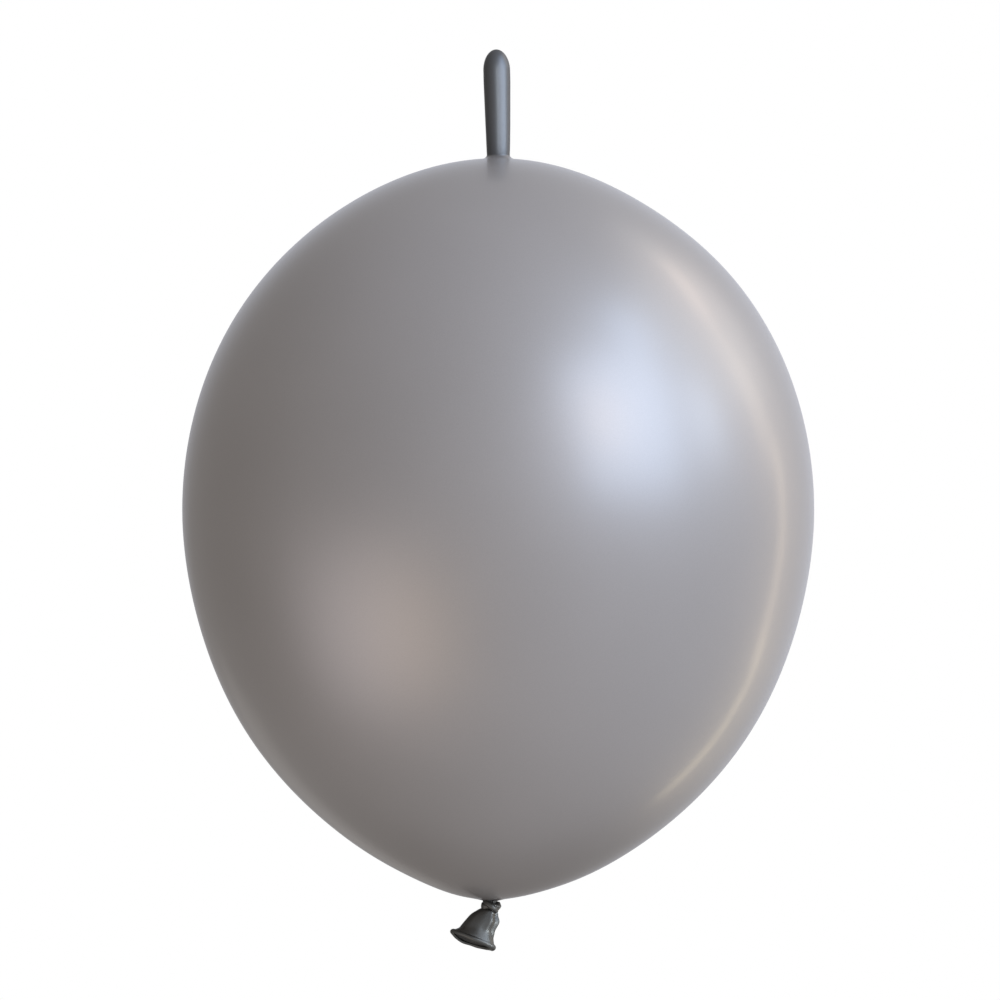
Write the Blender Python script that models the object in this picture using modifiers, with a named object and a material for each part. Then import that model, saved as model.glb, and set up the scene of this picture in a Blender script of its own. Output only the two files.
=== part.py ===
"""A blown-up link balloon: film envelope, finger-shaped tail on the crown, tied knot and flared neck below.

Metres, +Z up. The origin is the centre of the envelope's widest circle.
"""

from math import acos, asin, cos, pi, radians, sin, sqrt, tan

import bmesh
import bpy
from mathutils import Matrix, Vector

NAME = "link_balloon"

# Gap between neighbouring pieces that touch on the real balloon
FIT = 0.0003

# Envelope
WIDTH = 0.280
CROWN_HEIGHT = 0.1555
BASE_DEPTH = 0.1724
CROWN_TAPER = 0.08
CROWN_TAPER_POWER = 5
BASE_TAPER = 0.225
BASE_TAPER_POWER = 4
FILM = 0.0005
ENVELOPE_SIDES = 48
UPPER_STEPS = 13
LOWER_STEPS = 14

# The knot is tied a little to one side, and the film near it is drawn over with it
KNOT_OFFSET = 0.0033
LEAN_POWER = 8

# Tail
TAIL_LENGTH = 0.0485
TAIL_TIP_WIDTH = 0.0119
TAIL_ROOT_WIDTH = 0.0102
TAIL_TIP_HEIGHT = 0.0093
TAIL_WALL = 0.0020
TAIL_TIE_HEIGHT = 0.008
TAIL_LEAN = radians(1.5)
TAIL_SIDES = 16
TAIL_CAP_STEPS = 6
TAIL_BALL_STEPS = 6
TAIL_PIVOT_HEIGHT = 0.0052
TAIL_SWING = radians(62)
AIRWAY_RADIUS = 0.0016

# Fillet of latex round the tail's root
COLLAR_RADIUS = 0.0090
COLLAR_LIP_RADIUS = 0.0055
COLLAR_DEPTH = 0.0012
COLLAR_SIDES = 32
COLLAR_STEPS = 5

# Knot
KNOT_DROP = 0.0028
THROAT_RADIUS = 0.0046
THROAT_DEPTH = 0.0018
THROAT_SHOW = 0.0005
GATHER_STEP = 0.0002
GATHER_DEPTH = 0.0010
STRAND_RADIUS = 0.0016
LOOP_RADIUS = 0.0034
LOOP_THICKNESS = 0.0025
LOOP_HEIGHT = 0.0030
LOOP_TILT = radians(8)
LOOP_DROP = 0.0004
BULB_RADIUS = 0.0047
BULB_TOP = 0.0027
BULB_SHOULDER = 0.0003
KNOT_SIDES = 24
LOOP_SIDES = 12
BULB_STEPS = 6

# Loose end of the neck
NECK_WALL = 0.0006
NECK_LEAN = radians(28)
NECK_FORWARD = radians(8)
NECK_START = 0.0031
NECK_LENGTH = 0.0171
NECK_RADIUS = 0.0046
NECK_BAND = 0.0015
PLEATS = 8
PLEAT_DEPTH = 0.0006
NECK_SIDES = 32
NECK_STEPS = 6
NECK_FLARE = 1.1

# Mouth and its rolled lip
LIP_LEAN = radians(17)
LIP_FORWARD = radians(22)
LIP_HALF_WIDTH = 0.0098
LIP_NEAR = 0.0048
LIP_FAR = 0.0104
BEAD_RADIUS = 0.0009
BEAD_POINTS = 32

TAIL_PIVOT = Vector((0, 0, CROWN_HEIGHT + TAIL_PIVOT_HEIGHT))
KNOT_CENTRE = Vector((-KNOT_OFFSET, 0, -BASE_DEPTH - KNOT_DROP))

# Colour, roughness and metallic value of each piece
FINISHES = {
    "pearl_film": ((0.40, 0.38, 0.375), 0.32, 0.55),
    "pearl_latex": ((0.22, 0.225, 0.235), 0.38, 0.45),
    "dark_latex": ((0.13, 0.13, 0.13), 0.45, 0.35),
}


def clear_scene():
    for obj in list(bpy.data.objects):
        bpy.data.objects.remove(obj)


def make_collection(name):
    collection = bpy.data.collections.new(name)
    bpy.context.scene.collection.children.link(collection)
    return collection


def make_material(name):
    colour, roughness, metallic = FINISHES[name]
    material = bpy.data.materials.new(name)
    material.use_nodes = True
    shader = material.node_tree.nodes["Principled BSDF"]
    shader.inputs["Base Color"].default_value = (*colour, 1)
    shader.inputs["Roughness"].default_value = roughness
    shader.inputs["Metallic"].default_value = metallic
    return material


def add_object(name, data, finish, collection):
    obj = bpy.data.objects.new(name, data)
    obj.data.materials.append(make_material(finish))
    collection.objects.link(obj)
    return obj


def turned(name, profile, sides, finish, collection):
    """A closed (radius, height) profile, listed down its outer side and up its inner side, turned about Z."""
    mesh = bpy.data.meshes.new(name)
    edges = [(i, (i + 1) % len(profile)) for i in range(len(profile))]
    if profile[0][0] == 0:
        edges.pop()
    mesh.from_pydata([(r, 0, z) for r, z in profile], edges, [])
    obj = add_object(name, mesh, finish, collection)
    screw = obj.modifiers.new("Turn", "SCREW")
    screw.axis = "Z"
    screw.steps = sides
    screw.render_steps = sides
    screw.use_merge_vertices = True
    screw.merge_threshold = 1e-6
    screw.use_smooth_shade = True
    return obj


def to_mesh(obj):
    """Replaces an object's modifiers by the mesh that they make."""
    graph = bpy.context.evaluated_depsgraph_get()
    mesh = bpy.data.meshes.new_from_object(obj.evaluated_get(graph))
    obj.modifiers.clear()
    obj.data = mesh


def shade(obj):
    obj.data.shade_smooth()
    obj.data.set_sharp_from_angle(angle=radians(40))


def film_radius(share, taper, power):
    """The envelope's radius at a share of the height from its widest circle to its crown or base."""
    return WIDTH / 2 * sqrt(1 - share * share) * (1 - taper * share**power)


def narrowing(radius, taper, power):
    """The angle whose sine is the share of height where the envelope narrows to a radius."""
    low, high = 0.0, pi / 2
    for _ in range(60):
        middle = (low + high) / 2
        if film_radius(sin(middle), taper, power) > radius:
            low = middle
        else:
            high = middle
    return low


def film_profile():
    """(radius, height) down the envelope's outside, from the collar to the throat."""
    crown = (CROWN_TAPER, CROWN_TAPER_POWER)
    base = (BASE_TAPER, BASE_TAPER_POWER)
    upper_end = narrowing(COLLAR_RADIUS + FIT, *crown)
    lower_end = narrowing(THROAT_RADIUS + FIT, *base)
    points = []
    for i in range(UPPER_STEPS):
        share = sin(upper_end * (1 - i / UPPER_STEPS))
        points.append((film_radius(share, *crown), CROWN_HEIGHT * share))
    for i in range(LOWER_STEPS + 1):
        share = sin(lower_end * i / LOWER_STEPS)
        points.append((film_radius(share, *base), -BASE_DEPTH * share))
    return points


def offset_inwards(points, distance):
    """A line parallel to an outer profile that runs downwards, on its axis side."""
    inner = []
    for i, (r, z) in enumerate(points):
        before = points[max(i - 1, 0)]
        after = points[min(i + 1, len(points) - 1)]
        along = Vector((after[0] - before[0], after[1] - before[1])).normalized()
        inner.append((r + along.y * distance, z - along.x * distance))
    return inner


def lean(point):
    """Draws the film near the base over towards the knot."""
    share = max(0.0, -point.z / BASE_DEPTH)
    return Vector((point.x - KNOT_OFFSET * min(share, 1.0) ** LEAN_POWER, point.y, point.z))


def make_envelope(collection):
    outer = film_profile()
    inner = offset_inwards(outer, FILM)
    profile = outer + inner[::-1]
    envelope = turned("envelope", profile, ENVELOPE_SIDES, "pearl_film", collection)
    to_mesh(envelope)
    for vertex in envelope.data.vertices:
        vertex.co = lean(vertex.co)
    shade(envelope)
    return envelope


def arc(centre, radius, start, end, steps):
    """Points of (radius, height) on a circle about a point of the axis, by angle up from level."""
    angles = [start + (end - start) * i / steps for i in range(steps + 1)]
    return [(radius * cos(a), centre + radius * sin(a)) for a in angles]


def make_collar(collection):
    """A ring that fills the film's hole, with a seat for the tail's root and a hollow outer fillet.

    The seat is a cone that the bent tail's side just clears, and a touch of the root's own sphere below it.
    """
    pivot = TAIL_PIVOT.z
    seat = TAIL_ROOT_WIDTH / 2 + FIT
    top = pivot - (seat - COLLAR_LIP_RADIUS * cos(TAIL_SWING)) / sin(TAIL_SWING)
    crown = CROWN_HEIGHT - FIT
    seat_end = AIRWAY_RADIUS + FIT
    cup = arc(pivot, seat, -TAIL_SWING, -acos(seat_end / seat), 1)
    bottom = cup[-1][1] - COLLAR_DEPTH
    fillet = []
    for i in range(COLLAR_STEPS + 1):
        turn = pi / 2 * i / COLLAR_STEPS
        r = COLLAR_RADIUS - (COLLAR_RADIUS - COLLAR_LIP_RADIUS) * cos(turn)
        fillet.append((r, top - (top - crown) * sin(turn)))
    rim = [(COLLAR_RADIUS, crown - FILM), (seat_end, bottom)]
    return turned("tail_collar", fillet + rim + cup[::-1], COLLAR_SIDES, "pearl_film", collection)


def make_tail(collection):
    """A tube about its own pivot, closed at the tip and open at its ball-shaped root."""
    root = TAIL_ROOT_WIDTH / 2
    half = TAIL_TIP_WIDTH / 2
    length = TAIL_LENGTH - TAIL_PIVOT_HEIGHT
    shoulder = length - TAIL_TIP_HEIGHT
    cap = []
    for i in range(TAIL_CAP_STEPS):
        turn = pi / 2 * i / TAIL_CAP_STEPS
        cap.append((half * sin(turn), shoulder + TAIL_TIP_HEIGHT * cos(turn)))
    cap.append((half, shoulder))
    ball = arc(0, root, 0, -acos(AIRWAY_RADIUS / root), TAIL_BALL_STEPS)
    outer = cap + [(root, TAIL_TIE_HEIGHT)] + ball
    bore_tip = length - TAIL_WALL
    bore_root = root - TAIL_WALL
    bore = [
        (AIRWAY_RADIUS, 0),
        (bore_root, TAIL_TIE_HEIGHT / 2),
        (bore_root, TAIL_TIE_HEIGHT),
        (half - TAIL_WALL, shoulder),
        ((half - TAIL_WALL) * sin(pi / 4), shoulder + (bore_tip - shoulder) * cos(pi / 4)),
        (0, bore_tip),
    ]
    tail = turned("tail", outer + bore, TAIL_SIDES, "pearl_latex", collection)
    tail.location = TAIL_PIVOT
    half_side = Matrix.Rotation(pi / TAIL_SIDES, 4, "Z")
    tail.rotation_euler = (Matrix.Rotation(-TAIL_LEAN, 4, "Y") @ half_side).to_euler()
    return tail


def make_knot_core(collection):
    """The gathered throat, the strand that runs down through the loop, and the round end the skirt sits on."""
    gather = (THROAT_RADIUS + STRAND_RADIUS) / 2
    throat_end = KNOT_DROP - THROAT_SHOW
    profile = [
        (0, KNOT_DROP + THROAT_DEPTH),
        (THROAT_RADIUS, KNOT_DROP + THROAT_DEPTH),
        (THROAT_RADIUS, throat_end),
        (gather, throat_end - GATHER_STEP),
        (STRAND_RADIUS, throat_end - GATHER_DEPTH),
        (STRAND_RADIUS, -BULB_TOP + BULB_SHOULDER),
    ]
    profile += arc(0, BULB_RADIUS, -asin(BULB_TOP / BULB_RADIUS), -pi / 2, BULB_STEPS)[:-1]
    profile += [(0, -BULB_RADIUS)]
    core = turned("knot_core", profile, KNOT_SIDES, "dark_latex", collection)
    core.location = KNOT_CENTRE
    return core


def make_knot_loop(collection):
    """An oval roll turned round the strand, a little askew."""
    profile = []
    for i in range(LOOP_SIDES):
        turn = 2 * pi * i / LOOP_SIDES
        r = LOOP_RADIUS + LOOP_THICKNESS / 2 * sin(turn)
        profile.append((r, LOOP_HEIGHT / 2 * cos(turn)))
    loop = turned("knot_loop", profile, KNOT_SIDES, "dark_latex", collection)
    loop.location = KNOT_CENTRE - Vector((0, 0, LOOP_DROP))
    loop.rotation_euler = (0, LOOP_TILT, 0)
    return loop


def hanging(lean_angle, forward_angle):
    """A direction that points down, leaning to -X and towards -Y."""
    return Vector((-tan(lean_angle), -tan(forward_angle), -1)).normalized()


def ring_frame(normal):
    """Two unit vectors across a direction: one along X, one away from the front."""
    across = normal.cross(Vector((0, 1, 0))).normalized()
    return across, across.cross(normal).normalized()


def mouth_point(centre, across, back, turn, grow=0.0):
    """A point of the mouth's outline, which is flatter at the front than at the back."""
    depth = LIP_FAR if sin(turn) > 0 else LIP_NEAR
    return (
        centre
        + across * (LIP_HALF_WIDTH + grow) * cos(turn)
        + back * (depth + grow) * sin(turn)
    )


def neck_axes():
    """Where the neck leaves the knot, its mouth's centre, and the frames of both ends."""
    direction = hanging(NECK_LEAN, NECK_FORWARD)
    start = KNOT_CENTRE + direction * NECK_START
    mouth = KNOT_CENTRE + direction * NECK_LENGTH
    mouth_normal = hanging(LIP_LEAN, LIP_FORWARD)
    return direction, start, mouth, mouth_normal


def make_skirt(collection):
    """A loft from a round band at the knot to the mouth, with pleats that fade at both ends."""
    direction, start, mouth, mouth_normal = neck_axes()
    edge = mouth - mouth_normal * (BEAD_RADIUS + FIT + NECK_WALL / 2)
    across, back = ring_frame(direction)
    mouth_across, mouth_back = ring_frame(mouth_normal)
    turns = [2 * pi * (i + 0.5) / NECK_SIDES for i in range(NECK_SIDES)]
    circle = [NECK_RADIUS * (across * cos(turn) + back * sin(turn)) for turn in turns]
    band_end = start + direction * NECK_BAND
    rings = [[start + spoke for spoke in circle], [band_end + spoke for spoke in circle]]
    band = rings[-1]
    rim = [mouth_point(edge, mouth_across, mouth_back, turn, NECK_WALL / 2) for turn in turns]
    centre_line = (band_centre(band), band_centre(rim))
    for step in range(1, NECK_STEPS + 1):
        share = step / NECK_STEPS
        flare = share**NECK_FLARE
        pleat = PLEAT_DEPTH * sin(pi * share)
        middle = centre_line[0].lerp(centre_line[1], share)
        ring = []
        for i in range(NECK_SIDES):
            point = band[i].lerp(rim[i], share)
            spoke = band[i].lerp(rim[i], flare) - centre_line[0].lerp(centre_line[1], flare)
            wave = pleat * cos(PLEATS * turns[i])
            outwards = (point - middle).normalized()
            ring.append(middle + spoke + outwards * wave)
        rings.append(ring)
    mesh = bpy.data.meshes.new("neck_skirt")
    vertices = [tuple(p) for ring in rings for p in ring]
    faces = []
    for k in range(len(rings) - 1):
        for i in range(NECK_SIDES):
            j = (i + 1) % NECK_SIDES
            low, high = k * NECK_SIDES, (k + 1) * NECK_SIDES
            faces.append((low + i, high + i, high + j, low + j))
    mesh.from_pydata(vertices, [], faces)
    fix_normals(mesh, KNOT_CENTRE.lerp(mouth, 0.5))
    skirt = add_object("neck_skirt", mesh, "dark_latex", collection)
    shell = skirt.modifiers.new("Wall", "SOLIDIFY")
    shell.thickness = NECK_WALL
    shell.offset = -1
    return skirt


def band_centre(points):
    return sum(points, Vector()) / len(points)


def fix_normals(mesh, inside):
    """Turns a mesh's faces to point away from a place inside it."""
    faces = bmesh.new()
    faces.from_mesh(mesh)
    bmesh.ops.recalc_face_normals(faces, faces=faces.faces)
    first = faces.faces[:][0]
    if first.normal.dot(first.calc_center_median() - inside) < 0:
        bmesh.ops.reverse_faces(faces, faces=faces.faces)
    faces.to_mesh(mesh)
    faces.free()


def make_bead(collection):
    """The rolled lip, a closed round wire along the mouth's outline."""
    _, _, mouth, normal = neck_axes()
    across, back = ring_frame(normal)
    curve = bpy.data.curves.new("lip_bead", "CURVE")
    curve.dimensions = "3D"
    curve.bevel_depth = BEAD_RADIUS
    curve.bevel_resolution = 2
    spline = curve.splines.new("POLY")
    spline.points.add(BEAD_POINTS - 1)
    spline.use_cyclic_u = True
    for i, point in enumerate(spline.points):
        point.co = (*mouth_point(mouth, across, back, 2 * pi * i / BEAD_POINTS), 1)
    return add_object("lip_bead", curve, "dark_latex", collection)


def main():
    clear_scene()
    collection = make_collection(NAME)
    make_envelope(collection)
    make_collar(collection)
    make_tail(collection)
    make_knot_core(collection)
    make_knot_loop(collection)
    make_skirt(collection)
    make_bead(collection)


main()
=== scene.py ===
"""The looks of a link balloon: stretched pearl film, a darker tail, a tied knot and a pleated neck.

Metres, in the frame of the CAD model: +Z up, and the viewer looks along +Y.
"""

from math import cos, exp, pi, radians, sin, sqrt, tan

import bpy
import numpy as np
from mathutils import Matrix, Quaternion, Vector, noise


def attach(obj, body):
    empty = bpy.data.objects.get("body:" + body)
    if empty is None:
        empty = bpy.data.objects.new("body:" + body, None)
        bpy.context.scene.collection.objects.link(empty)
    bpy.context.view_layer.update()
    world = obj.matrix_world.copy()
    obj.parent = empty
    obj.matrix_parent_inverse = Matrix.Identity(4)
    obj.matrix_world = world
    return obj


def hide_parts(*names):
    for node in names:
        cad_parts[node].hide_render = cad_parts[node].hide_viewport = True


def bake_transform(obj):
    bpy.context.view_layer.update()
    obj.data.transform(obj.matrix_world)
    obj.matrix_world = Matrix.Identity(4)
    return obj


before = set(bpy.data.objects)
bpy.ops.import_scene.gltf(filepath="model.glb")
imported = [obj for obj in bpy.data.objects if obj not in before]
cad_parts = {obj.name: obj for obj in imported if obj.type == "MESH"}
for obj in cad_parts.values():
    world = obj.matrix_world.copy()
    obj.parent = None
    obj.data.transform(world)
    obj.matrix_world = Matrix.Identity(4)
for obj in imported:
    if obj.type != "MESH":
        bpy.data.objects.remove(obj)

MM = 0.001
SHARP_ANGLE = radians(60)

# Film, as in the CAD model
WIDTH = 0.280
CROWN_HEIGHT = 0.1555
BASE_DEPTH = 0.1724
CROWN_TAPER = 0.08
CROWN_TAPER_POWER = 5
BASE_TAPER = 0.225
BASE_TAPER_POWER = 4
KNOT_OFFSET = 0.0033
KNOT_DROP = 0.0028

# Film, finer than in the CAD model: rings from the tail's root down to the throat
FILM_WALL = 0.0005
FILM_SIDES = 192
FILLET_RADIUS = 0.0096
FILLET_TOP = 0.1573
FILLET_STEPS = 14
UPPER_STEPS = 56
LOWER_STEPS = 60
THROAT_RADIUS = 0.0026
THROAT_START = 0.0090
THROAT_STEPS = 26
NARROWING_STEPS = 60

# How much slimmer the film is than in the CAD model: everywhere, and at most over a span
# below its widest circle
TRIM = 0.003
SLIMMER = 0.0095
SLIMMER_SPAN = 0.150
SLIMMER_SKEW = 0.9

# Film drawn down and over to the knot, creases that run into it, and a faint unevenness
LEAN_POWER = 16
DRAW_DEPTH = 0.0009
DRAW_RADIUS = 0.0050
GATHER_DEPTH = 0.00030
GATHER_REACH = 0.0060
WOBBLE = 0.00015
WOBBLE_SIZE = 0.11
WOBBLE_START = 0.03

# Places where the film is a little flatter: middle, depth and reach
FLATS = (
    (Vector((-0.034, 0, -0.163)), 0.0009, 0.022),
    (Vector((0.023, 0, -0.168)), 0.0006, 0.016),
    (Vector((0.066, 0, 0.133)), 0.0010, 0.038),
)

# Where the film stays thick: its reach from the tail's root, and its reach and share at the knot
TAIL_THICK_REACH = 0.0007
KNOT_THICK_REACH = 0.0060
KNOT_THICK_SHARE = 0.8

# Tail
TAIL_ROOT_RADIUS = 0.0051
TAIL_TIP_RADIUS = 0.00595
TAIL_TIP_HEIGHT = 0.0093
TAIL_TOP = 0.2040
TAIL_WALL = 0.0006
TAIL_WIDENING = 1.15
TAIL_WIDENING_POWER = 0.8
TAIL_BAND = 0.00003
TAIL_BAND_HEIGHT = 0.006
TAIL_LEAN = radians(1.3)
TAIL_LEAN_START = 0.008
TAIL_SIDES = 64
TAIL_STEPS = 60
TAIL_CAP_STEPS = 18

# Creases of the gathered film, as waves round it, each with its count, start and size
GATHER_WAVES = ((7, 0.9, 0.30), (12, 2.1, 0.35), (19, 4.0, 0.25), (29, 5.3, 0.10))

# Gathered strand through the knot: radius and height in millimetres, and its creases
KNOT = Vector((-KNOT_OFFSET, 0, -BASE_DEPTH - KNOT_DROP))
KNOT_SIDES = 144
GATHER_STOPS = np.array([
    (3.2, 3.6), (2.9, 2.2), (2.7, 1.4), (2.3, 0.4), (2.3, -0.8), (2.9, -2.2), (2.4, -3.2),
]) * MM
GATHER_STEPS = 40
GATHER_CREASE = 0.05
GATHER_TWIST = 0.15

# Roll round that strand, with waves in its thickness and height, and folds along it
ROLL_RADIUS = 0.0030
ROLL_HALF_WIDTH = 0.0015
ROLL_HALF_HEIGHT = 0.0018
ROLL_TILT = radians(9)
ROLL_SIDES = 28
ROLL_SWELLS = ((2, 0.6, 0.12), (5, 2.0, 0.07))
ROLL_RISES = ((1, 1.2, 0.00035), (3, 0, 0.00015))
ROLL_FOLD = 0.13
ROLL_FOLD_COUNT = 2.5
ROLL_FOLD_TWIST = 1.5
ROLL_FOLD_POWER = 0.6

# Strand that crosses the roll: places from the knot and radii in millimetres, and its creases
CROSSING_STOPS = np.array([
    (-2.6, 0.6, 2.6), (-2.7, -2.0, 2.4), (-1.6, -4.0, 1.5), (0.2, -4.7, 0.1), (1.7, -4.1, -1.2),
    (2.2, -2.2, -2.4), (1.6, 0.2, -2.8),
]) * MM
CROSSING_RADII = np.array([0.6, 1.0, 1.25, 1.35, 1.25, 1.0, 0.6]) * MM
CROSSING_STEPS = 48
CROSSING_SIDES = 32
CROSSING_FLATNESS = 0.75
CROSSING_CREASE = 0.05
CROSSING_CREASE_COUNT = 6
CROSSING_TWIST = 0.15

# Loose end of the neck
NECK_SIDES = 160
NECK_STEPS = 48
NECK_WALL = 0.0005
NECK_LEAN = radians(28)
NECK_FORWARD = radians(8)
NECK_LENGTH = 0.0171

# Sections of the neck from the knot to the lip, in millimetres and degrees:
# middle (x, y, z), right and left half widths, near and far depths, lean and forward tilt
NECK_SECTIONS = np.array([
    (-3.3, 0.0, -174.6, 2.2, 2.2, 2.2, 2.2, 0, 0),
    (-3.5, 0.0, -175.9, 3.3, 3.2, 3.0, 3.0, 1, 0),
    (-4.3, -0.3, -177.2, 4.4, 4.9, 3.7, 3.7, 2, 3),
    (-5.6, -0.6, -179.3, 5.3, 6.4, 4.1, 4.3, 5, 7),
    (-7.0, -1.0, -182.0, 7.0, 7.1, 4.4, 5.4, 9, 12),
    (-8.9, -1.5, -185.2, 7.3, 7.5, 4.6, 7.2, 13, 18),
    (-9.8, -1.8, -187.0, 7.9, 8.0, 5.0, 8.6, 15, 20),
    (-11.0, -2.0, -189.1, 9.9, 10.0, 5.9, 10.4, 19, 22),
])

# Pleats of the neck, which fade at both ends and on the front, and crumple at the right
PLEAT_DEPTH = 0.00034
PLEAT_SPAN = 1.02
PLEAT_FADE_POWER = 0.7
PLEAT_COUNT = 9
PLEAT_SHARE = 0.8
PLEAT_TWIST = 2
FRONT_SMOOTHING = 0.85
FRONT_START = 3
CRUMPLE_DEPTH = 3.0
CRUMPLE_ROUND = 1.8
CRUMPLE_ALONG = 5
CRUMPLE_POWER = 1.5

# Flat face between two crests at the near right of the neck
FACET_START = radians(300)
FACET_END = radians(350)
FACET_DEPTH = 0.00050
FACET_RISE = (0.15, 0.95)
CREST_HEIGHT = 0.00028
CREST_WIDTH = 0.17

# Mouth and its rolled lip
MOUTH_RISE = 0.0005
LIP_LEAN = radians(19.5)
LIP_FORWARD = radians(22)
LIP_HALF_WIDTH = 0.0098
LIP_NEAR = 0.0048
LIP_FAR = 0.0104
LIP_PINCH = 0.38
LIP_SAG = 0.0011
LIP_SAG_TURN = radians(300)
LIP_SAG_POWER = 4
LIP_WAVES = ((3, 1, 0.00014), (7, 0, 0.00008))
BEAD_RADIUS = 0.00100
BEAD_SWELLS = ((4, 0.5, 0.06), (11, 0, 0.04))
BEAD_UNEVEN = 0.00030
BEAD_FAT_TURN = radians(310)
BEAD_SIDES = 16

# Latex finishes: left thick, blown thin, the loose neck, and a darker, duller painted shade for the
# neck's inside, where shade falls in the mouth
THICK = {"colour": (0.142, 0.147, 0.155), "roughness": 0.45, "metallic": 1.0, "coat": 0.04}
THIN = {"colour": (0.42, 0.398, 0.388), "roughness": 0.42, "metallic": 0.6, "coat": 0.45}
NECK = {"colour": (0.120, 0.120, 0.113), "roughness": 0.44, "metallic": 1.0, "coat": 0.06}
# Painted shade: the neck's inner face gets a darker, duller colour than its latex, standing in for the
# shade inside the mouth
INSIDE_PAINTED_SHADE = {"colour": (0.060, 0.058, 0.055), "roughness": 0.60, "metallic": 0.5, "coat": 0.0}
FILM_GLOSS = 0.155
LOOSE_GLOSS = 0.34
COAT_IOR = 1.5

# Pearl flakes, clouds of tone and grain, each as a noise of a scale and detail, and how much they do
FLAKES = (2600, 2)
FLAKE_TONE = 0.08
CLOUDS = (14, 2)
CLOUD_TONE = 0.05
CLOUD_ROUGHNESS = 0.03
GRAIN = (3200, 3)
GRAIN_STRENGTH = 0.10
GRAIN_DEPTH = 0.0001

# Soft lamps, each with its direction from the balloon, its distance, its width and height,
# the share of its half width that fades out, its colour and its power in watts
SOFT_LAMPS = {
    "key": ((0.670, -0.600, 0.400), 2.2, (2.15, 2.15), 0.60, (0.56, 0.73, 1.0), 45.4),
    "key_core": ((0.580, -0.690, 0.420), 2.2, (1.0, 1.1), 1.0, (1.0, 0.54, 0.01), 6.1),
    "key_top": ((0.620, -0.250, 0.740), 2.2, (1.0, 1.0), 1.0, (0.53, 0.71, 1.0), 10.2),
    "key_side": ((0.930, -0.120, 0.330), 2.2, (1.0, 1.2), 1.0, (0.62, 0.77, 1.0), 12.1),
    "high_wash": ((0.757, 0.217, 0.616), 2.0, (2.2, 1.8), 0.45, (0.98, 1.0, 0.97), 6.4),
    "low_fill": ((-0.690, -0.515, -0.490), 1.8, (2.6, 2.2), 1.0, (1.0, 0.924, 0.968), 15.9),
    "amber_fill": ((-0.450, -0.720, -0.500), 1.8, (1.8, 1.8), 1.0, (1.0, 0.60, 0.12), 4.3),
}

# Strips behind the balloon, warm on the right and dim at the lower left, each with its first and last
# azimuth and elevation in degrees, its distance, its width, the share of its half width that fades out,
# its colour and its power
STRIP_LAMPS = {
    "strip_top": ((134, 49), (109, 31), 2.0, 0.45, 0.8, (1.0, 0.77, 0.60), 3.3),
    "strip_high": ((109, 39), (115, 2), 2.0, 0.55, 0.8, (1.0, 0.82, 0.62), 4.1),
    "strip_middle": ((118, 14), (122.5, -24), 1.6, 0.19, 0.4, (1.0, 0.80, 0.54), 1.25),
    "strip_low": ((123.5, -14), (138, -46), 1.6, 0.13, 0.4, (1.0, 0.83, 0.52), 1.1),
    "strip_left": ((-137, -17), (-174, -33), 2.0, 0.60, 0.3, (1.0, 0.97, 0.92), 0.43),
}

# Narrow beams on the two small dark ends, each with the place that it aims at, its lamps' height,
# its cone, and the azimuth in degrees and power of each lamp
SPOT_LAMPS = {
    "tail_light": ((0, 0, 0.1825), 0.23, radians(2.8), ((5, 10), (36, 7), (66, 8))),
    "neck_light": ((-0.008, 0, -0.1865), -0.20, radians(1.75), ((46, 12), (74, 13))),
}
SPOT_BLEND = 0.5
SPOT_RADIUS = 0.004
SPOT_DISTANCE = 1.2
SPOT_COLOUR = (0.86, 0.93, 1.0)

# Light of the room, which is dim and warm at one end of an axis and bright and cool at the other,
# with a wall behind, a ceiling, and a dark corner low behind. Each fade has the number where it
# starts and the number where it is full.
ROOM_AXIS = (0.40, -0.15, 0.07)
ROOM_FADE = (-0.5, 0.5)
ROOM_DIM = (0.210, 0.195, 0.175)
ROOM_BRIGHT = (0.795, 0.806, 0.862)
WALL_COLOUR = (0.745, 0.777, 0.875)
WALL_BACK_FADE = (0.70, 1.0)
WALL_LEVEL_FADE = (-0.35, 0.10)
WALL_SLOPE = 0.6
CEILING_COLOUR = (0.82, 0.82, 0.92)
CEILING_FADE = (0.55, 1.0)
CEILING_SHARE = 0.16
CORNER_COLOUR = (0.175, 0.163, 0.150)
CORNER_UNDER_FADE = (-0.20, -0.70)
CORNER_BACK_FADE = (0.2, 0.55)
CORNER_SIDE_FADE = (0.55, 0.28)
CORNER_SHARE = 0.9

# Floor
FLOOR_RADIUS = 9.0
FLOOR_HEIGHT = -2.6
FLOOR_SIDES = 96
FLOOR_FADE = (8.8, 3.8)
FLOOR_TONE = 0.93
FLOOR_ROUGHNESS = 0.9

# Camera at the photograph's distance, level with the widest circle
CAMERA_PLACE = (0.00075, -1.8, 0.00443)
CAMERA_LENS = 146.3
CAMERA_SENSOR = 36


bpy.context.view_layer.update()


# Shapes in general

def ripple(wave, turn, rows):
    """A sum of waves round a circle, each with its count, start and size."""
    return sum(size * wave(count * turn + start) for count, start, size in rows)


def circle_angles(count):
    return [2 * pi * i / count for i in range(count)]


def hanging(lean_angle, forward_angle):
    """A direction that points down, leaning to -X and towards -Y."""
    return Vector((-tan(lean_angle), -tan(forward_angle), -1)).normalized()


def ring_frame(normal):
    """Two unit vectors across a direction: one along X, one away from the front."""
    across = normal.cross(Vector((0, 1, 0))).normalized()
    return across, across.cross(normal).normalized()


def smooth_through(stops, share):
    """A smooth curve through evenly spaced stops, at a share of its length from 0 to 1."""
    place = share * (len(stops) - 1)
    i = min(int(place), len(stops) - 2)
    t = place - i
    before = stops[max(i - 1, 0)]
    here, there = stops[i], stops[i + 1]
    after = stops[min(i + 2, len(stops) - 1)]
    line = (there - before) * t + (2 * before - 5 * here + 4 * there - after) * t**2
    return here + 0.5 * (line + (3 * here - before - 3 * there + after) * t**3)


# Meshes

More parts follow.
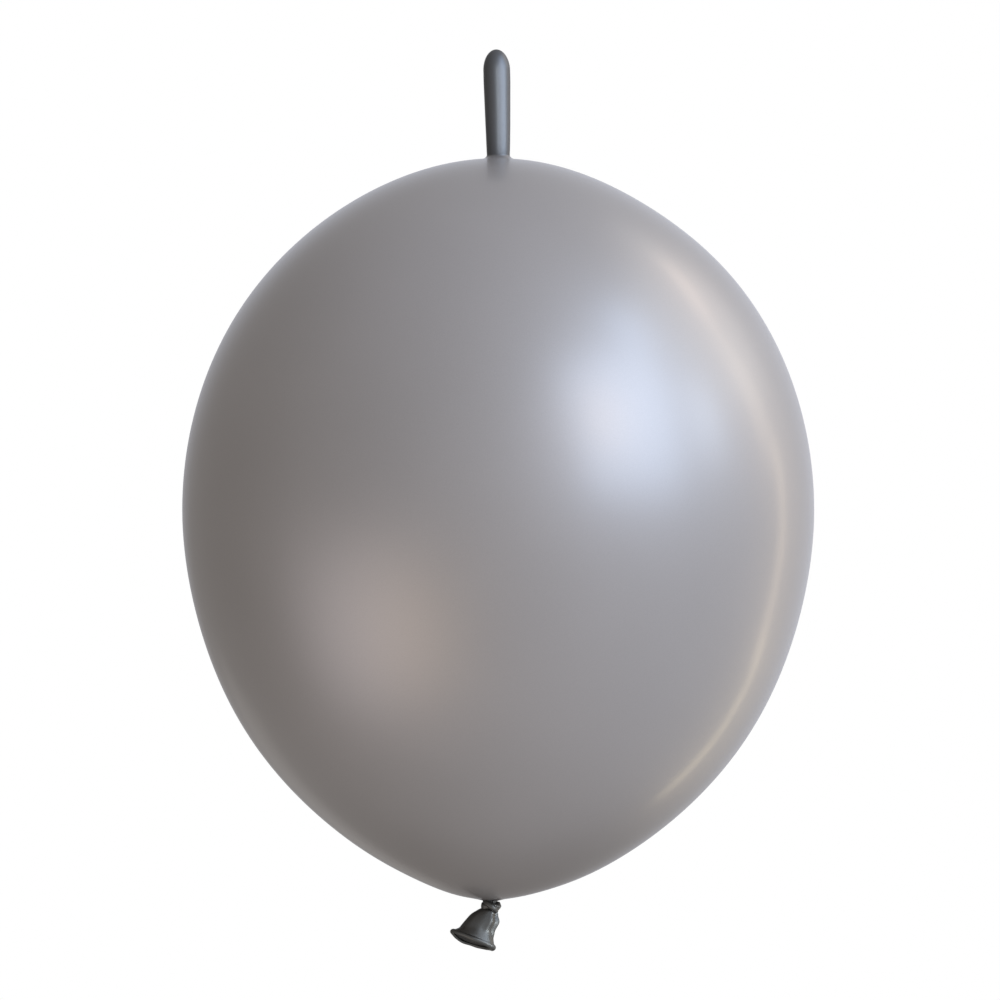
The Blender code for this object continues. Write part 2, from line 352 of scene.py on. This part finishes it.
def grid_normals(rings):
    """Unit normals of a grid of points that is closed around its columns, pointing out of its rings."""
    around = np.roll(rings, -1, axis=1) - np.roll(rings, 1, axis=1)
    along = np.gradient(rings, axis=0)
    normals = np.cross(around, along)
    normals /= np.linalg.norm(normals, axis=2, keepdims=True)
    outwards = rings - rings.mean(axis=1, keepdims=True)
    if (normals * outwards).sum() < 0:
        normals = -normals
    return normals


def band_faces(low, high, sides):
    """Faces between two rings of points, given by the number of their first point."""
    besides = [(side, (side + 1) % sides) for side in range(sides)]
    return [(low + side, low + beside, high + beside, high + side) for side, beside in besides]


def grid_faces(rows, sides, first, flip):
    faces = []
    for row in range(rows - 1):
        low = first + row * sides
        faces += band_faces(low, low + sides, sides)
    return [face[::-1] for face in faces] if flip else faces


def fan_faces(ring_start, sides, apex, flip):
    faces = [(ring_start + side, ring_start + (side + 1) % sides, apex) for side in range(sides)]
    return [face[::-1] for face in faces] if flip else faces


def face_out(mesh):
    """Turns a closed mesh's faces outwards, by the sign of the volume that they enclose."""
    mesh.calc_loop_triangles()
    volume = 0.0
    for triangle in mesh.loop_triangles:
        a, b, c = (mesh.vertices[i].co for i in triangle.vertices)
        volume += a.dot(b.cross(c))
    if volume < 0:
        mesh.flip_normals()


def add_piece(name, vertices, faces, finish):
    """A smooth mesh object, with a number on each point that says how its two finishes mix there."""
    mesh = bpy.data.meshes.new(name)
    mesh.from_pydata([tuple(v) for v in vertices], [], faces)
    face_out(mesh)
    mesh.shade_smooth()
    mesh.set_sharp_from_angle(angle=SHARP_ANGLE)
    layer = mesh.attributes.new("finish", "FLOAT", "POINT")
    layer.data.foreach_set("value", np.asarray(finish, np.float32))
    return add_object(name, mesh)


def add_object(name, data):
    obj = bpy.data.objects.new(name, data)
    bpy.context.scene.collection.objects.link(obj)
    return obj


def skin(name, rings, wall, finish, inside=None, apex=None):
    """A closed skin of one thickness over rings of points, which an apex shuts at its last end.

    finish has a number for each ring, and inside one for the whole inner face where that differs.
    """
    rows, sides, _ = rings.shape
    inner = rings - wall * grid_normals(rings)
    count = rows * sides
    last = count - sides
    vertices = list(rings.reshape(-1, 3)) + list(inner.reshape(-1, 3))
    outer = list(np.repeat(finish, sides))
    amounts = outer + (outer if inside is None else [inside] * count)
    faces = grid_faces(rows, sides, 0, False) + grid_faces(rows, sides, count, True)
    faces += band_faces(count, 0, sides)
    if apex is None:
        faces += band_faces(last, count + last, sides)
    else:
        along = Vector(apex) - Vector(rings[0].mean(axis=0))
        vertices += [np.array(apex), np.array(Vector(apex) - along.normalized() * wall)]
        amounts += [finish[-1]] * 2
        faces += fan_faces(last, sides, 2 * count, False)
        faces += fan_faces(count + last, sides, 2 * count + 1, True)
    return add_piece(name, vertices, faces, amounts)


def tube(name, rings, closed):
    """A solid roll over rings of points, joined end to end or capped at both ends."""
    rows, sides, _ = rings.shape
    last = (rows - 1) * sides
    vertices = list(rings.reshape(-1, 3))
    faces = grid_faces(rows, sides, 0, False)
    if closed:
        faces += band_faces(last, 0, sides)
    else:
        vertices += [rings[0].mean(axis=0), rings[-1].mean(axis=0)]
        faces += fan_faces(0, sides, rows * sides, True)
        faces += fan_faces(last, sides, rows * sides + 1, False)
    return add_piece(name, vertices, faces, [1.0] * len(vertices))


# Film

def film_radius(share, taper, power):
    """The film's radius at a share of the height from its widest circle to its crown or base."""
    return WIDTH / 2 * sqrt(1 - share * share) * (1 - taper * share**power)


def narrowing(radius, taper, power):
    """The angle whose sine is the share of height where the film narrows to a radius."""
    low, high = 0.0, pi / 2
    for _ in range(NARROWING_STEPS):
        middle = (low + high) / 2
        if film_radius(sin(middle), taper, power) > radius:
            low = middle
        else:
            high = middle
    return low


def gathers(turn):
    """Creases that run into the knot, as a height from -1 to 1 at each angle round it."""
    return ripple(cos, turn, GATHER_WAVES)


def film_profile():
    """(radius, height) of each ring of the film, from the tail's root down to the throat."""
    crown = (CROWN_TAPER, CROWN_TAPER_POWER)
    base = (BASE_TAPER, BASE_TAPER_POWER)
    upper_end = narrowing(FILLET_RADIUS, *crown)
    lower_end = narrowing(THROAT_START, *base)
    crown_edge = CROWN_HEIGHT * sin(upper_end)
    points = []
    for i in range(FILLET_STEPS):
        turn = pi / 2 * i / FILLET_STEPS
        radius = FILLET_RADIUS - (FILLET_RADIUS - TAIL_ROOT_RADIUS) * cos(turn)
        points.append((radius, FILLET_TOP - (FILLET_TOP - crown_edge) * sin(turn)))
    for i in range(UPPER_STEPS):
        share = sin(upper_end * (1 - i / UPPER_STEPS))
        points.append((film_radius(share, *crown), CROWN_HEIGHT * share))
    for i in range(LOWER_STEPS):
        share = sin(lower_end * i / LOWER_STEPS)
        points.append((film_radius(share, *base), -BASE_DEPTH * share))
    for i in range(THROAT_STEPS + 1):
        radius = THROAT_START + (THROAT_RADIUS - THROAT_START) * i / THROAT_STEPS
        points.append((radius, -BASE_DEPTH * sin(narrowing(radius, *base))))
    return points


def slimming(height):
    """The share of the CAD film's radius that is kept at a height."""
    share = -height / SLIMMER_SPAN
    dip = SLIMMER * sin(pi * share**SLIMMER_SKEW) ** 2 if 0 < share < 1 else 0.0
    return 1 - TRIM - dip


def film_point(radius, height, turn):
    """A point of the film, a little uneven and flattened, creased at the knot and leaning to it."""
    spoke = Vector((cos(turn), sin(turn), 0))
    point = spoke * radius * slimming(height) + Vector((0, 0, height))
    uneven = noise.noise(point / WOBBLE_SIZE) * WOBBLE * min(1.0, radius / WOBBLE_START)
    flat = sum(depth * exp(-((point - middle).length / reach) ** 2) for middle, depth, reach in FLATS)
    point += point.normalized() * (uneven - flat)
    if height < 0:
        drawn = DRAW_DEPTH * exp(-((radius / DRAW_RADIUS) ** 2))
        crease = GATHER_DEPTH * exp(-max(0.0, radius - THROAT_RADIUS) / GATHER_REACH)
        point.z -= drawn + crease * gathers(turn)
        point.x -= KNOT_OFFSET * min(-height / BASE_DEPTH, 1.0) ** LEAN_POWER
    return point


def film_finish(radius, height):
    """1 where the film is blown thin, less where it stays thick round the tail and the knot."""
    if height > 0:
        return 1 - exp(-((radius - TAIL_ROOT_RADIUS) / TAIL_THICK_REACH))
    return 1 - KNOT_THICK_SHARE * exp(-((radius - THROAT_RADIUS) / KNOT_THICK_REACH))


def make_film():
    profile = film_profile()
    turns = circle_angles(FILM_SIDES)
    rings = np.array([[film_point(r, z, turn) for turn in turns] for r, z in profile])
    finish = [film_finish(r, z) for r, z in profile]
    film = skin("film_skin", rings, FILM_WALL, finish)
    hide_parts("envelope", "tail_collar")
    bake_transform(film)
    return film


# Tail

def tail_axis(height):
    """The middle of the tail at a height, leaning over smoothly from its root."""
    rise = max(0.0, height - FILLET_TOP)
    return Vector((-tan(TAIL_LEAN) * rise * rise / (rise + TAIL_LEAN_START), 0, height))


def tail_radius(height):
    """The straight part's radius, with the faint thick bands that dipping leaves."""
    share = (height - FILLET_TOP) / (TAIL_TOP - TAIL_TIP_HEIGHT - FILLET_TOP)
    widened = min(1.0, share * TAIL_WIDENING) ** TAIL_WIDENING_POWER
    wide = TAIL_ROOT_RADIUS + (TAIL_TIP_RADIUS - TAIL_ROOT_RADIUS) * widened
    return wide + TAIL_BAND * noise.noise(Vector((0, 0, height / TAIL_BAND_HEIGHT)))


def make_tail():
    shoulder = TAIL_TOP - TAIL_TIP_HEIGHT
    profile = []
    for i in range(TAIL_STEPS):
        height = FILLET_TOP + (shoulder - FILLET_TOP) * i / TAIL_STEPS
        profile.append((tail_radius(height), height))
    for i in range(TAIL_CAP_STEPS):
        turn = pi / 2 * i / TAIL_CAP_STEPS
        profile.append((TAIL_TIP_RADIUS * cos(turn), shoulder + TAIL_TIP_HEIGHT * sin(turn)))
    rings = []
    for radius, height in profile:
        middle = tail_axis(height)
        rings.append([middle + radius * Vector((cos(t), sin(t), 0)) for t in circle_angles(TAIL_SIDES)])
    tail = skin("tail_skin", np.array(rings), TAIL_WALL, [0.0] * len(rings), apex=tail_axis(TAIL_TOP))
    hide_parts("tail")
    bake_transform(tail)
    return tail


# Knot

def make_gather():
    """The strand that the film is gathered into, pleated, through the middle of the knot."""
    rings = []
    for row in range(GATHER_STEPS + 1):
        share = row / GATHER_STEPS
        radius, height = smooth_through(GATHER_STOPS, share)
        ring = []
        for turn in circle_angles(KNOT_SIDES):
            pleated = radius * (1 + GATHER_CREASE * gathers(turn + GATHER_TWIST * share))
            ring.append(KNOT + Vector((pleated * cos(turn), pleated * sin(turn), height)))
        rings.append(ring)
    gather = tube("knot_gather", np.array(rings), closed=False)
    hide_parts("knot_core")
    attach(gather, "balloon")
    return gather


def make_roll():
    """The turn of neck that is pulled tight round the gathered strand, creased along its length."""
    tilt = Quaternion((0, 1, 0), ROLL_TILT)
    rings = []
    for turn in circle_angles(KNOT_SIDES):
        spoke = Vector((cos(turn), sin(turn), 0))
        swell = 1 + ripple(sin, turn, ROLL_SWELLS)
        rise = ripple(sin, turn, ROLL_RISES)
        ring = []
        for angle in circle_angles(ROLL_SIDES):
            crease = abs(sin(ROLL_FOLD_COUNT * angle + ROLL_FOLD_TWIST * turn)) ** ROLL_FOLD_POWER
            size = swell * (1 - ROLL_FOLD * crease)
            across = ROLL_HALF_WIDTH * size * cos(angle)
            up = ROLL_HALF_HEIGHT * size * sin(angle)
            point = spoke * (ROLL_RADIUS + across) + Vector((0, 0, up + rise))
            point.rotate(tilt)
            ring.append(KNOT + point)
        rings.append(ring)
    roll = tube("knot_roll", np.array(rings), closed=True)
    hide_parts("knot_loop")
    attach(roll, "balloon")
    return roll


def crossing_rings(points, radii):
    """Rings of a flattened strand that follows points over the knot, with creases along it."""
    rings = []
    for i, (point, radius) in enumerate(zip(points, radii)):
        ahead = points[min(i + 1, len(points) - 1)]
        behind = points[max(i - 1, 0)]
        along = (ahead - behind).normalized()
        up = along.cross((point - KNOT).normalized()).normalized()
        outwards = up.cross(along).normalized()
        ring = []
        for angle in circle_angles(CROSSING_SIDES):
            crease = cos(CROSSING_CREASE_COUNT * angle + CROSSING_TWIST * i)
            size = radius * (1 + CROSSING_CREASE * crease)
            across = outwards * (size * CROSSING_FLATNESS * cos(angle))
            ring.append(point + across + up * (size * sin(angle)))
        rings.append(ring)
    return np.array(rings)


def make_crossing():
    """The strand that comes out over the front of the roll and dives back under it."""
    shares = [i / CROSSING_STEPS for i in range(CROSSING_STEPS + 1)]
    points = [KNOT + Vector(smooth_through(CROSSING_STOPS, share)) for share in shares]
    radii = [float(smooth_through(CROSSING_RADII, share)) for share in shares]
    crossing = tube("knot_crossing", crossing_rings(points, radii), closed=False)
    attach(crossing, "balloon")
    return crossing


# Loose end of the neck

def facet(turn):
    """Folds the near right of the neck into a flat face between two crests."""
    across = (turn - FACET_START) / (FACET_END - FACET_START)
    dent = FACET_DEPTH * sin(pi * across) if 0 < across < 1 else 0.0
    crests = sum(exp(-(((turn - edge) / CREST_WIDTH) ** 2)) for edge in (FACET_START, FACET_END))
    return CREST_HEIGHT * crests - dent


def neck_fold(turn, share):
    """How far the neck stands out at an angle round it, at a share of its length."""
    pleat = PLEAT_DEPTH * sin(pi * min(1.0, share * PLEAT_SPAN)) ** PLEAT_FADE_POWER
    pleats = PLEAT_SHARE * cos(PLEAT_COUNT * turn + PLEAT_TWIST * share) * share
    folds = gathers(turn) * (1 - share) ** 2 + pleats
    front = max(0.0, -sin(turn)) * min(1.0, share * FRONT_START)
    place = Vector((cos(turn), sin(turn), 0)) * CRUMPLE_ROUND + Vector((0, 0, share * CRUMPLE_ALONG))
    crumple = CRUMPLE_DEPTH * max(0.0, cos(turn)) ** CRUMPLE_POWER * noise.noise(place)
    start, growth = FACET_RISE
    flat = facet(turn) * sin(pi * min(1.0, start + growth * share))
    return pleat * (folds * (1 - FRONT_SMOOTHING * front) + crumple) + flat


def lip_sag(turn):
    """How far the mouth's rim hangs below its plane at an angle round it, most at the near right."""
    return LIP_SAG * max(0.0, cos(turn - LIP_SAG_TURN))


def neck_ring(share):
    x, y, z, right, left, near, far, lean_by, forward_by = smooth_through(NECK_SECTIONS, share)
    centre = Vector((x, y, z)) * MM
    normal = hanging(radians(lean_by), radians(forward_by))
    across, back = ring_frame(normal)
    ring = []
    for turn in circle_angles(NECK_SIDES):
        wide = (right if cos(turn) > 0 else left) * MM
        deep = (far if sin(turn) > 0 else near) * MM
        spoke = across * (wide * cos(turn)) + back * (deep * sin(turn))
        point = centre + spoke + spoke.normalized() * neck_fold(turn, share)
        ring.append(point + normal * (lip_sag(turn) * share**LIP_SAG_POWER))
    return ring


def make_neck():
    rings = [neck_ring(row / NECK_STEPS) for row in range(NECK_STEPS + 1)]
    # The inner face takes the first finish of the neck's material, the darker painted shade for the
    # shadowed inside of the mouth
    neck = skin("neck_skin", np.array(rings), NECK_WALL, [1.0] * len(rings), inside=0.0)
    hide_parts("neck_skirt")
    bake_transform(neck)
    return neck


def mouth_outline(centre, across, back, turn):
    """A point of the mouth's outline, flatter at the front than at the back, with a pinched left end."""
    depth = LIP_FAR if sin(turn) > 0 else LIP_NEAR
    pinched = abs(sin(turn)) ** (LIP_PINCH * max(0.0, -cos(turn)))
    return centre + across * LIP_HALF_WIDTH * cos(turn) + back * depth * sin(turn) * pinched


def make_lip():
    mouth = KNOT + hanging(NECK_LEAN, NECK_FORWARD) * NECK_LENGTH + Vector((0, 0, MOUTH_RISE))
    normal = hanging(LIP_LEAN, LIP_FORWARD)
    across, back = ring_frame(normal)
    angles = circle_angles(BEAD_SIDES)
    rings = []
    for turn in circle_angles(NECK_SIDES):
        point = mouth_outline(mouth, across, back, turn)
        outwards = (point - mouth).normalized()
        point += normal * (lip_sag(turn) + ripple(sin, turn, LIP_WAVES))
        radius = BEAD_RADIUS * (1 + ripple(sin, turn, BEAD_SWELLS))
        radius += BEAD_UNEVEN * cos(turn - BEAD_FAT_TURN)
        rings.append([point + radius * (outwards * cos(a) + normal * sin(a)) for a in angles])
    lip = tube("rolled_lip", np.array(rings), closed=True)
    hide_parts("lip_bead")
    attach(lip, "neck")
    return lip


# Nodes

def link(tree, source, target):
    tree.links.new(source, target)


def math_node(tree, operation, *values):
    node = tree.nodes.new("ShaderNodeMath")
    node.operation = operation
    for socket, value in zip(node.inputs, values):
        if isinstance(value, (int, float)):
            socket.default_value = value
        else:
            link(tree, value, socket)
    return node.outputs[0]


def noise_node(tree, coordinates, scale, detail):
    node = tree.nodes.new("ShaderNodeTexNoise")
    node.inputs["Scale"].default_value = scale
    node.inputs["Detail"].default_value = detail
    link(tree, coordinates, node.inputs["Vector"])
    return node.outputs["Fac"]


def mix_colour(tree, amount, first, second):
    node = tree.nodes.new("ShaderNodeMix")
    node.data_type = "RGBA"
    link(tree, amount, node.inputs["Factor"])
    for name, value in (("A", first), ("B", second)):
        socket = [s for s in node.inputs if s.name == name and s.type == "RGBA"][0]
        if isinstance(value, tuple):
            socket.default_value = (*value, 1)
        else:
            link(tree, value, socket)
    return [s for s in node.outputs if s.type == "RGBA"][0]


def between(tree, amount, low, high):
    """A number that goes from low to high as amount goes from 0 to 1."""
    return math_node(tree, "ADD", math_node(tree, "MULTIPLY", amount, high - low), low)


def fade(tree, value, ends, style="SMOOTHSTEP"):
    """A number that goes from 0 to 1 as value goes from the first of two ends to the second.

    The ends may come in falling order.
    """
    node = tree.nodes.new("ShaderNodeMapRange")
    node.interpolation_type = style
    node.inputs["From Min"].default_value, node.inputs["From Max"].default_value = ends
    link(tree, value, node.inputs["Value"])
    return node.outputs["Result"]


def vector_node(tree, operation, source, output, other=None):
    node = tree.nodes.new("ShaderNodeVectorMath")
    node.operation = operation
    link(tree, source, node.inputs[0])
    if other is not None:
        node.inputs[1].default_value = other
    return node.outputs[output]


def split(tree, source):
    node = tree.nodes.new("ShaderNodeSeparateXYZ")
    link(tree, source, node.inputs[0])
    return node.outputs


def background(tree, colour):
    node = tree.nodes.new("ShaderNodeBackground")
    if isinstance(colour, tuple):
        node.inputs["Color"].default_value = colour
    else:
        link(tree, colour, node.inputs["Color"])
    return node.outputs[0]


# Materials

def pearl_latex(name, first, second, gloss):
    """Latex with pearl pigment: fine flakes and soft clouds of tone, between two finishes."""
    material = bpy.data.materials.new(name)
    material.use_nodes = True
    tree = material.node_tree
    shader = tree.nodes["Principled BSDF"]
    shader.inputs["Coat Roughness"].default_value = gloss
    shader.inputs["Coat IOR"].default_value = COAT_IOR
    place = tree.nodes.new("ShaderNodeTexCoord").outputs["Object"]
    attribute = tree.nodes.new("ShaderNodeAttribute")
    attribute.attribute_name = "finish"
    finish = attribute.outputs["Fac"]
    flakes = between(tree, noise_node(tree, place, *FLAKES), -FLAKE_TONE, FLAKE_TONE)
    clouds = noise_node(tree, place, *CLOUDS)
    tone = math_node(tree, "ADD", flakes, between(tree, clouds, 1 - CLOUD_TONE, 1 + CLOUD_TONE))
    base = tree.nodes.new("ShaderNodeVectorMath")
    base.operation = "SCALE"
    link(tree, mix_colour(tree, finish, first["colour"], second["colour"]), base.inputs[0])
    link(tree, tone, base.inputs["Scale"])
    link(tree, base.outputs[0], shader.inputs["Base Color"])
    rough = between(tree, finish, first["roughness"], second["roughness"])
    rough = math_node(tree, "ADD", rough, between(tree, clouds, -CLOUD_ROUGHNESS, CLOUD_ROUGHNESS))
    link(tree, rough, shader.inputs["Roughness"])
    link(tree, between(tree, finish, first["metallic"], second["metallic"]), shader.inputs["Metallic"])
    link(tree, between(tree, finish, first["coat"], second["coat"]), shader.inputs["Coat Weight"])
    bump = tree.nodes.new("ShaderNodeBump")
    bump.inputs["Strength"].default_value = GRAIN_STRENGTH
    bump.inputs["Distance"].default_value = GRAIN_DEPTH
    link(tree, noise_node(tree, place, *GRAIN), bump.inputs["Height"])
    link(tree, bump.outputs[0], shader.inputs["Normal"])
    return material


# Stage, light and camera

def aim(obj, place, target=(0, 0, 0)):
    obj.location = place
    obj.rotation_euler = (Vector(target) - Vector(place)).to_track_quat("-Z", "Y").to_euler()


def toward(azimuth, elevation):
    """A direction from the balloon, by its angle round from the camera and its angle up, in degrees."""
    turn, rise = radians(azimuth), radians(elevation)
    return Vector((sin(turn) * cos(rise), -cos(turn) * cos(rise), sin(rise)))


def add_lamp(name, kind, colour, power):
    data = bpy.data.lights.new(name, kind)
    data.color = colour
    data.energy = power
    lamp = add_object(name, data)
    lamp.visible_camera = False
    return lamp


def soften(data, edge):
    """Fades an area light out towards its sides, over a share of its half width and half height."""
    data.use_nodes = True
    tree = data.node_tree
    place = tree.nodes.new("ShaderNodeNewGeometry").outputs["Parametric"]
    parts = split(tree, vector_node(tree, "SUBTRACT", place, 0, (0.5, 0.5, 0)))
    ends = (0.5, 0.5 - 0.5 * edge)
    shares = [fade(tree, math_node(tree, "ABSOLUTE", parts[axis]), ends) for axis in ("X", "Y")]
    link(tree, math_node(tree, "MULTIPLY", *shares), tree.nodes["Emission"].inputs["Strength"])


def area_light(name, size, edge, colour, power):
    lamp = add_lamp(name, "AREA", colour, power)
    lamp.data.shape = "RECTANGLE"
    lamp.data.size, lamp.data.size_y = size
    soften(lamp.data, edge)
    return lamp


def soft_light(name, direction, distance, *looks):
    aim(area_light(name, *looks), Vector(direction).normalized() * distance)


def strip_light(name, first, last, distance, width, *looks):
    """A soft strip between two directions, which faces the balloon."""
    first, last = toward(*first) * distance, toward(*last) * distance
    lamp = area_light(name, (width, (last - first).length), *looks)
    middle = (first + last) / 2
    up = (first - last).normalized()
    back = (middle - up * middle.dot(up)).normalized()
    axes = Matrix((up.cross(back), up, back)).transposed()
    lamp.matrix_world = Matrix.Translation(middle) @ axes.to_4x4()


def spot_lights(name, target, height, cone, lamps):
    """Narrow beams for a small dark piece, as from snoots."""
    for azimuth, power in lamps:
        lamp = add_lamp(name, "SPOT", SPOT_COLOUR, power)
        lamp.data.spot_size = cone
        lamp.data.spot_blend = SPOT_BLEND
        lamp.data.shadow_soft_size = SPOT_RADIUS
        place = toward(azimuth, 0) * SPOT_DISTANCE
        aim(lamp, (place.x, place.y, height), target)


def make_floor():
    """A round pale floor well below the balloon, which fades out before the horizon."""
    turns = circle_angles(FLOOR_SIDES)
    rim = [(FLOOR_RADIUS * cos(turn), FLOOR_RADIUS * sin(turn), FLOOR_HEIGHT) for turn in turns]
    mesh = bpy.data.meshes.new("floor")
    mesh.from_pydata(rim, [], [tuple(range(FLOOR_SIDES))])
    floor = add_object("floor", mesh)
    material = bpy.data.materials.new("pale_floor")
    material.use_nodes = True
    tree = material.node_tree
    shader = tree.nodes["Principled BSDF"]
    shader.inputs["Base Color"].default_value = (FLOOR_TONE, FLOOR_TONE, FLOOR_TONE, 1)
    shader.inputs["Roughness"].default_value = FLOOR_ROUGHNESS
    place = tree.nodes.new("ShaderNodeTexCoord").outputs["Object"]
    distance = vector_node(tree, "LENGTH", place, "Value")
    link(tree, fade(tree, distance, FLOOR_FADE), shader.inputs["Alpha"])
    mesh.materials.append(material)
    floor.visible_diffuse = False
    floor.visible_glossy = False


def room_light(tree):
    """The room's light by direction: dim on the left, bright on the right, behind and overhead.

    A patch low behind the balloon is dark.
    """
    direction = tree.nodes.new("ShaderNodeTexCoord").outputs["Generated"]
    parts = split(tree, direction)
    x, y, z = (parts[axis] for axis in ("X", "Y", "Z"))
    along = vector_node(tree, "DOT_PRODUCT", direction, "Value", ROOM_AXIS)
    light = mix_colour(tree, fade(tree, along, ROOM_FADE, "LINEAR"), ROOM_DIM, ROOM_BRIGHT)
    slope = math_node(tree, "ADD", z, math_node(tree, "MULTIPLY", x, WALL_SLOPE))
    level = fade(tree, slope, WALL_LEVEL_FADE, "LINEAR")
    wall = math_node(tree, "MULTIPLY", fade(tree, y, WALL_BACK_FADE), level)
    light = mix_colour(tree, wall, light, WALL_COLOUR)
    ceiling = math_node(tree, "MULTIPLY", fade(tree, z, CEILING_FADE), CEILING_SHARE)
    light = mix_colour(tree, ceiling, light, CEILING_COLOUR)
    under = fade(tree, z, CORNER_UNDER_FADE)
    behind = fade(tree, y, CORNER_BACK_FADE)
    middle = fade(tree, math_node(tree, "ABSOLUTE", x), CORNER_SIDE_FADE, "LINEAR")
    corner = math_node(tree, "MULTIPLY", math_node(tree, "MULTIPLY", under, behind), middle)
    corner = math_node(tree, "MULTIPLY", corner, CORNER_SHARE)
    return mix_colour(tree, corner, light, CORNER_COLOUR)


def make_world():
    """White to look at, and the room's light for everything else."""
    world = bpy.data.worlds.new("studio")
    bpy.context.scene.world = world
    world.use_nodes = True
    tree = world.node_tree
    tree.nodes.clear()
    choose = tree.nodes.new("ShaderNodeMixShader")
    rays = tree.nodes.new("ShaderNodeLightPath")
    link(tree, rays.outputs["Is Camera Ray"], choose.inputs[0])
    link(tree, background(tree, room_light(tree)), choose.inputs[1])
    link(tree, background(tree, (1, 1, 1, 1)), choose.inputs[2])
    out = tree.nodes.new("ShaderNodeOutputWorld")
    link(tree, choose.outputs[0], out.inputs["Surface"])


def make_camera():
    data = bpy.data.cameras.new("camera")
    data.sensor_width = CAMERA_SENSOR
    data.lens = CAMERA_LENS
    camera = add_object("camera", data)
    camera.location = CAMERA_PLACE
    camera.rotation_euler = (pi / 2, 0, 0)
    bpy.context.scene.camera = camera


def main():
    bpy.context.scene.view_settings.view_transform = "Standard"
    make_camera()
    make_world()
    make_floor()
    for name, settings in SOFT_LAMPS.items():
        soft_light(name, *settings)
    for name, settings in STRIP_LAMPS.items():
        strip_light(name, *settings)
    for name, settings in SPOT_LAMPS.items():
        spot_lights(name, *settings)
    film = pearl_latex("pearl_film", THICK, THIN, FILM_GLOSS)
    tail = pearl_latex("pearl_tail", THICK, THIN, LOOSE_GLOSS)
    # The neck's material mixes its own dark latex with the painted shade of the neck's inner face
    neck = pearl_latex("dark_neck", INSIDE_PAINTED_SHADE, NECK, LOOSE_GLOSS)
    pieces = [(make_film(), film), (make_tail(), tail)]
    pieces += [(make(), neck) for make in (make_gather, make_roll, make_crossing, make_neck, make_lip)]
    for piece, material in pieces:
        piece.data.materials.append(material)


main()
